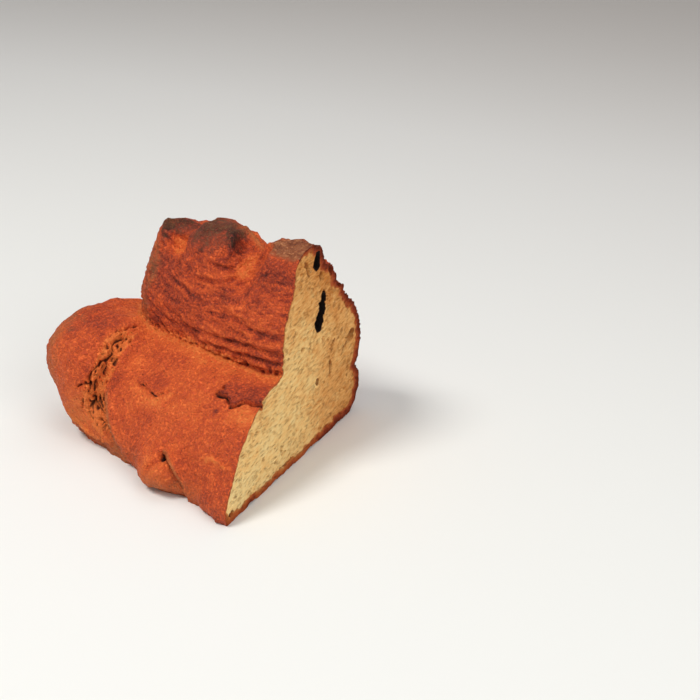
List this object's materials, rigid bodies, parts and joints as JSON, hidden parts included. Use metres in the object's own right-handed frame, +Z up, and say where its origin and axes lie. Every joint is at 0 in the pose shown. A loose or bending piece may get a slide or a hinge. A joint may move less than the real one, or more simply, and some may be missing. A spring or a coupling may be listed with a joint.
{
  "type": "half of a horn-shaped bread loaf",
  "caption": "Half of a rustic horn-shaped loaf in two tiers, with a knobbed top, a browned and torn crust, and the open crumb showing on the flat cut face.",
  "frame": {"origin": "on the underside, below the middle of the half loaf's box", "axes": "+Z up from the underside; +X out of the cut face; +Y towards the back of the loaf"},
  "size_m": [0.1636, 0.1628, 0.1315],
  "materials": {
    "crust": "matte baked crust, orange-brown with darker knobs, and straw-coloured crumb on the cut face"
  },
  "bodies": {
    "root": {"half_loaf": "crust"}
  },
  "joints": []
}
